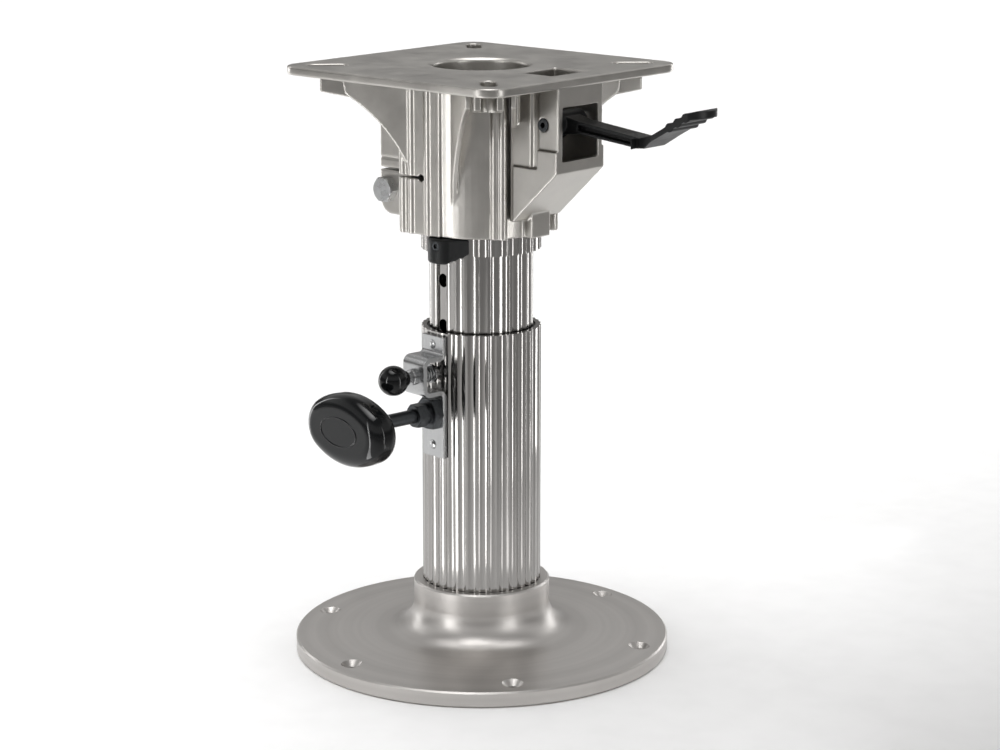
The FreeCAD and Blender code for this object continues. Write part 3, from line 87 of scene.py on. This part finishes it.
class Nodes:
    """Short way to build a material's node tree."""

    def __init__(self, name):
        self.material = bpy.data.materials.new(name)
        self.material.use_nodes = True
        self.tree = self.material.node_tree
        self.shader = self.tree.nodes["Principled BSDF"]
        self.place = self.add("ShaderNodeTexCoord").outputs["Object"]

    def add(self, kind, inputs=(), **settings):
        """A new node with settings and inputs; an input is a value or another node's output."""
        node = self.tree.nodes.new(kind)
        for name, setting in settings.items():
            setattr(node, name, setting)
        for name, item in dict(inputs).items():
            self.link(node.inputs[name], item)
        return node

    def link(self, socket, item):
        """Give a socket a value or another node's output."""
        if isinstance(item, bpy.types.NodeSocket):
            self.tree.links.new(item, socket)
        else:
            socket.default_value = item

    def stretched(self, scale):
        """Coordinates scaled along each axis."""
        return self.add("ShaderNodeVectorMath", {0: self.place, 1: scale},
                        operation="MULTIPLY").outputs[0]

    def noise(self, vector, scale, detail=4.0, rough=0.5):
        return self.add("ShaderNodeTexNoise", {
            "Vector": vector, "Scale": scale, "Detail": detail, "Roughness": rough}).outputs[0]

    def maths(self, operation, first, second):
        return self.add("ShaderNodeMath", {0: first, 1: second}, operation=operation).outputs[0]

    def between(self, factor, low, high):
        """Map the usual span of a noise to low..high."""
        return self.add("ShaderNodeMapRange", {
            "Value": factor, 1: NOISE_LOW, 2: NOISE_HIGH, 3: low, 4: high}).outputs[0]

    def mixed(self, factor, first, second):
        """Colour between two colours, by a noise; 6, 7 and 2 are the node's colour sockets."""
        return self.add("ShaderNodeMix", {
            0: self.between(factor, 0.0, 1.0), 6: first, 7: second}, data_type="RGBA").outputs[2]

    def bump(self, height, distance, normal=None):
        inputs = {"Height": height, "Distance": distance, "Strength": 1.0}
        if normal is not None:
            inputs["Normal"] = normal
        return self.add("ShaderNodeBump", inputs).outputs[0]

    def worn_edge(self, radius):
        """Normals rounded over sharp edges."""
        return self.add("ShaderNodeBevel", {"Radius": radius}, samples=4).outputs[0]

    def set(self, **inputs):
        """Fill the shader's inputs by name; the result is the material."""
        for name, item in inputs.items():
            self.link(self.shader.inputs[name.replace("_", " ")], item)
        return self.material


def grey(level, tint=0.0):
    """Grey that is warm where the tint is below zero."""
    return (level - tint, level, level + tint, 1.0)


def metal(name, dark, light, rough, grain, grain_scale, edge=0.0003, tint=0.004):
    """Bare metal with a directional grain and faint stains."""
    n = Nodes(name)
    lines = n.noise(n.stretched(grain), grain_scale, 3.0)
    stains = n.noise(n.place, STAIN_SCALE, 5.0, 0.6)
    mean = n.maths("MULTIPLY", n.maths("ADD", lines, stains), 0.5)
    return n.set(Base_Color=n.mixed(mean, grey(dark, tint), grey(light, tint)), Metallic=1.0,
                 Normal=n.bump(lines, GRAIN_DEPTH, n.worn_edge(edge)),
                 Roughness=n.between(mean, *rough))


def turned_metal(name):
    """Aluminium with the fine rings of a lathe."""
    n = Nodes(name)
    parts = n.add("ShaderNodeSeparateXYZ", {0: n.place})
    radius = n.add("ShaderNodeVectorMath", {0: n.stretched((1, 1, 0))}, operation="LENGTH")
    along = n.add("ShaderNodeCombineXYZ", {0: radius.outputs["Value"], 1: parts.outputs[2]})
    rings = n.noise(along.outputs[0], LATHE_RING_SCALE, 2.0)
    bands = n.noise(along.outputs[0], LATHE_BAND_SCALE, 3.0)
    marks = n.noise(n.place, LATHE_MARK_SCALE, 6.0, 0.65)
    return n.set(Base_Color=n.mixed(bands, grey(*LATHE_DARK), grey(*LATHE_LIGHT)), Metallic=1.0,
                 Normal=n.bump(rings, LATHE_RING_DEPTH, n.worn_edge(LATHE_EDGE)),
                 Roughness=n.between(marks, *LATHE_ROUGH))


def cast_metal(name):
    """Tumbled cast aluminium: satin, with a fine uneven skin."""
    n = Nodes(name)
    grit = n.noise(n.place, CAST_GRIT_SCALE, 3.0, 0.6)
    patches = n.noise(n.place, CAST_PATCH_SCALE, 5.0, 0.6)
    skin = n.maths("ADD", n.maths("MULTIPLY", grit, 0.5), patches)
    return n.set(Base_Color=n.mixed(patches, CAST_DARK, CAST_LIGHT), Metallic=1.0,
                 Normal=n.bump(skin, CAST_SKIN_DEPTH), Roughness=n.between(patches, *CAST_ROUGH))


def plastic(name, level, rough, skin_depth, coat=0.0):
    """Black plastic with a slight unevenness and dusty patches."""
    n = Nodes(name)
    grit = n.noise(n.place, PLASTIC_GRIT_SCALE, 2.0)
    dust = n.noise(n.place, PLASTIC_DUST_SCALE, 5.0, 0.6)
    colour = n.mixed(dust, grey(level * 0.8, PLASTIC_TINT), grey(level * 1.25, PLASTIC_TINT))
    return n.set(Base_Color=colour, Normal=n.bump(grit, skin_depth), Coat_Weight=coat,
                 Specular_IOR_Level=PLASTIC_SHINE, Roughness=n.between(dust, *rough))


SKINS = {
    "base": turned_metal("turned_aluminium"),
    "tube": metal("anodised_aluminium", 0.31, 0.36, (0.10, 0.15), UPRIGHT, 1400.0, tint=-0.010),
    "casting": cast_metal("cast_aluminium"),
    "sheet_steel": metal("plated_sheet", 0.42, 0.50, (0.20, 0.30), UPRIGHT, 900.0, 0.0004),
    "zinc": metal("zinc_plate", 0.44, 0.54, (0.24, 0.34), EVEN, 300.0, 0.0004),
    "spring_steel": metal("spring_wire", 0.30, 0.40, (0.25, 0.35), EVEN, 600.0, 0.0001),
    "black_steel": metal("blackened_steel", 0.055, 0.085, (0.30, 0.42), ACROSS, 700.0, 0.0004),
    "pad_brass": metal("brass", 0.42, 0.5, (0.3, 0.4), EVEN, 300.0, tint=-0.12),
    "nylon": plastic("black_nylon", 0.008, (0.34, 0.46), 0.00004),
    "knob": plastic("polished_black", 0.005, (0.06, 0.12), 0.000004, 0.15),
}
SLOT_OF = {part["node"]: part["material_slot"] for part in frame["record"]["subparts"]}
BODY_OF = {node: body for body, nodes in frame["record"]["behaviour"]["bodies"].items()
           for node in nodes}


def dress(thing, slot):
    """Give a thing one skin and nothing else."""
    thing.data.materials.clear()
    thing.data.materials.append(SKINS[slot])


for node_name, node in frame["nodes"].items():
    dress(node, SLOT_OF[node_name])


# Pieces
def shown(name, mesh, body, slot):
    """A new piece with a mesh in the row frame that rides on a body."""
    thing = bpy.data.objects.new(name, mesh)
    scene.collection.objects.link(thing)
    dress(thing, slot)
    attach(thing, body)
    return thing


def copy_of(node_name, name):
    """Copy of a CAD node that stands for it."""
    mesh = frame["nodes"][node_name].data.copy()
    thing = shown(name, mesh, BODY_OF[node_name], SLOT_OF[node_name])
    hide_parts(node_name)
    return thing


def final_mesh(thing):
    """Mesh of a thing with its modifiers or its bar applied."""
    graph = bpy.context.evaluated_depsgraph_get()
    return bpy.data.meshes.new_from_object(thing.evaluated_get(graph))


def moulded(node_name, name, voxel, rounds):
    """Copy of a CAD node whose edges and corners are softened as a mould leaves them."""
    thing = copy_of(node_name, name)
    even = thing.modifiers.new("even_faces", "REMESH")
    even.mode = "VOXEL"
    even.voxel_size = voxel * 1
    soft = thing.modifiers.new("soft_edges", "SMOOTH")
    soft.factor = 0.5
    soft.iterations = rounds
    mesh = final_mesh(thing)
    thing.modifiers.clear()
    thing.data = mesh
    mesh.shade_smooth()


def on_column(across, reach, height):
    """Row-frame place from across the bracket, outward from the axis and height."""
    return Matrix.Rotation(COLUMN_TURN, 4, "Z") @ Vector((across, -reach, height))


def bar_mesh(name, path, radius):
    """Round bar along a closed path of points."""
    curve = bpy.data.curves.new(name, "CURVE")
    curve.dimensions = "3D"
    curve.bevel_depth = radius
    curve.bevel_resolution = 3
    line = curve.splines.new("POLY")
    line.points.add(len(path) - 1)
    for point, place in zip(line.points, path):
        point.co = (*place, 1.0)
    line.use_cyclic_u = True
    carrier = bpy.data.objects.new(name, curve)
    scene.collection.objects.link(carrier)
    mesh = final_mesh(carrier)
    bpy.data.objects.remove(carrier)
    mesh.shade_smooth()
    return mesh


def oval_path(reach, height, half_width, half_height, steps):
    """Points of an oval that faces outward from the bracket."""
    turns = [2 * math.pi * step / steps for step in range(steps)]
    return [on_column(half_width * math.cos(turn), reach, height + half_height * math.sin(turn))
            for turn in turns]


def pull_spring():
    """Spring of the pull pin, as a copy of the CAD spring with its own mesh."""
    thing = copy_of("pin_spring", "pin_spring_coil")
    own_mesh(thing)


moulded("seat_mount", "casting_skin", voxel=0.00055, rounds=5)
moulded("lever", "lever_skin", voxel=0.00035, rounds=5)
moulded("stop_block", "stop_block_skin", voxel=0.00035, rounds=4)

# Raised oval ring on the hand knob's face.
knob_path = oval_path(reach=0.1097, height=CLAMP_HEIGHT,
                      half_width=0.0165, half_height=0.0085, steps=96)
shown("knob_face_ring", bar_mesh("knob_ring", knob_path, 0.0005), "hand_screw", "knob")

# Black ring on the pull pin's shank, against the ball.
pin_path = oval_path(reach=0.0594, height=PIN_HEIGHT,
                     half_width=0.0042, half_height=0.0042, steps=48)
shown("pin_shank_ring", bar_mesh("pin_ring", pin_path, 0.0006), "pull_pin", "nylon")

pull_spring()

# Stage, light and camera
AZIMUTH = math.radians(42.267)  # the camera stands here, from -Y towards +X

STRIP_MIDDLE = 0.52  # height of the upright strips' middle
STRIP_LENGTH = 1.0
STRIP_SPREAD = 80
FLOOR_STRIP_REACH, FLOOR_STRIP_LEAN = 0.88, 0.02
FLOOR_STRIP_HEIGHT = 0.004
FLOOR_STRIP_WIDTH, FLOOR_STRIP_LENGTH = 0.056, 1.45

# Sine of the elevation and brightness: dim, with a bright band a little above the horizon.
SKY = [(0.0, 0.32), (0.10, 0.16), (0.20, 0.14), (0.34, 0.66), (0.60, 0.60), (0.78, 0.20)]
SKY_TINT = -0.004

CAMERA_PLACE = (1.06660, -1.17354, 0.55522)
CAMERA_LOOK = (-0.648519, 0.723800, -0.235662)
SENSOR_MM, LENS_MM = 36, 97.22


def stage_place(right, away, up):
    """Place from the camera's right, away from the camera and up, about the pedestal."""
    return Vector((right * math.cos(AZIMUTH) - away * math.sin(AZIMUTH),
                   right * math.sin(AZIMUTH) + away * math.cos(AZIMUTH), up))


def bearing_place(bearing, reach, up):
    """Place at a bearing in degrees from the camera to its right."""
    turn = math.radians(bearing)
    return stage_place(reach * math.sin(turn), -reach * math.cos(turn), up)


def pale_floor():
    """Wide pale floor."""
    corners = [(-FLOOR_REACH, -FLOOR_REACH, 0.0), (FLOOR_REACH, -FLOOR_REACH, 0.0),
               (FLOOR_REACH, FLOOR_REACH, 0.0), (-FLOOR_REACH, FLOOR_REACH, 0.0)]
    mesh = bpy.data.meshes.new("floor")
    mesh.from_pydata(corners, [], [(0, 1, 2, 3)])
    n = Nodes("floor_paint")
    specks = n.noise(n.place, FLOOR_SPECK_SCALE, 3.0)
    mesh.materials.append(n.set(
        Base_Color=n.mixed(specks, grey(FLOOR_DARK), grey(FLOOR_LIGHT)),
        Roughness=0.9, Specular_IOR_Level=0.1))
    thing = bpy.data.objects.new("floor", mesh)
    scene.collection.objects.link(thing)


def studio_sky():
    """Grey surroundings whose brightness depends on the elevation alone."""
    world = bpy.data.worlds.new("studio")
    scene.world = world
    world.use_nodes = True
    tree = world.node_tree
    coordinates = tree.nodes.new("ShaderNodeTexCoord")
    parts = tree.nodes.new("ShaderNodeSeparateXYZ")
    ramp = tree.nodes.new("ShaderNodeValToRGB")
    tree.links.new(coordinates.outputs["Generated"], parts.inputs[0])
    tree.links.new(parts.outputs[2], ramp.inputs[0])
    while len(ramp.color_ramp.elements) < len(SKY):
        ramp.color_ramp.elements.new(0.5)
    for element, (position, level) in zip(ramp.color_ramp.elements, SKY):
        element.position = position
        element.color = grey(level, SKY_TINT)
    tree.links.new(ramp.outputs[0], tree.nodes["Background"].inputs[0])


def softbox(name, place, target, width, height, brightness, spread=180):
    """Rectangular soft light that looks at a point; its power follows from its brightness."""
    lamp = bpy.data.lights.new(name, "AREA")
    lamp.shape = "RECTANGLE"
    lamp.size = width
    lamp.size_y = height
    lamp.spread = math.radians(spread)
    half = math.radians(spread / 2)
    focus = 1.0 if spread == 180 else 1 - half / math.tan(half)  # a narrow beam is brighter
    lamp.energy = brightness * focus * math.pi * width * height
    thing = bpy.data.objects.new(name, lamp)
    thing.location = place
    thing.rotation_mode = "QUATERNION"
    thing.rotation_quaternion = (Vector(target) - place).to_track_quat("-Z", "Y")
    thing.visible_camera = False
    scene.collection.objects.link(thing)


def strip(name, bearing, reach, width, brightness):
    """Upright strip light that stands on the floor and faces the part."""
    softbox(name, bearing_place(bearing, reach, STRIP_MIDDLE), (0.0, 0.0, STRIP_MIDDLE),
            width, STRIP_LENGTH, brightness, STRIP_SPREAD)


def floor_strip(name, bearing, brightness):
    """Strip light that lies on the floor and runs away from the part."""
    softbox(name, bearing_place(bearing, FLOOR_STRIP_REACH, FLOOR_STRIP_HEIGHT),
            bearing_place(bearing, FLOOR_STRIP_REACH + FLOOR_STRIP_LEAN, 1.0),
            FLOOR_STRIP_WIDTH, FLOOR_STRIP_LENGTH, brightness)


pale_floor()
studio_sky()
strip("strip_left", bearing=-50, reach=0.36, width=0.035, brightness=13.0)
strip("strip_right", bearing=44, reach=0.36, width=0.035, brightness=10.0)
floor_strip("floor_left", bearing=-50, brightness=5.85)
floor_strip("floor_right", bearing=44, brightness=1.6)
strip("strip_far_right", bearing=128, reach=0.42, width=0.04, brightness=10.0)
strip("strip_far_left", bearing=-118, reach=0.42, width=0.035, brightness=9.0)
softbox("ceiling", stage_place(0, 2.85, 1.0), stage_place(0, 2.85, 0),
        width=4.4, height=6.4, brightness=8.6, spread=60)

lens = bpy.data.cameras.new("photo_camera")
lens.sensor_width = SENSOR_MM
lens.lens = LENS_MM
lens.clip_start = 0.05
lens.clip_end = 30
camera = bpy.data.objects.new("photo_camera", lens)
camera.location = CAMERA_PLACE
camera.rotation_mode = "QUATERNION"
camera.rotation_quaternion = Vector(CAMERA_LOOK).to_track_quat("-Z", "Y")
scene.collection.objects.link(camera)
scene.camera = camera
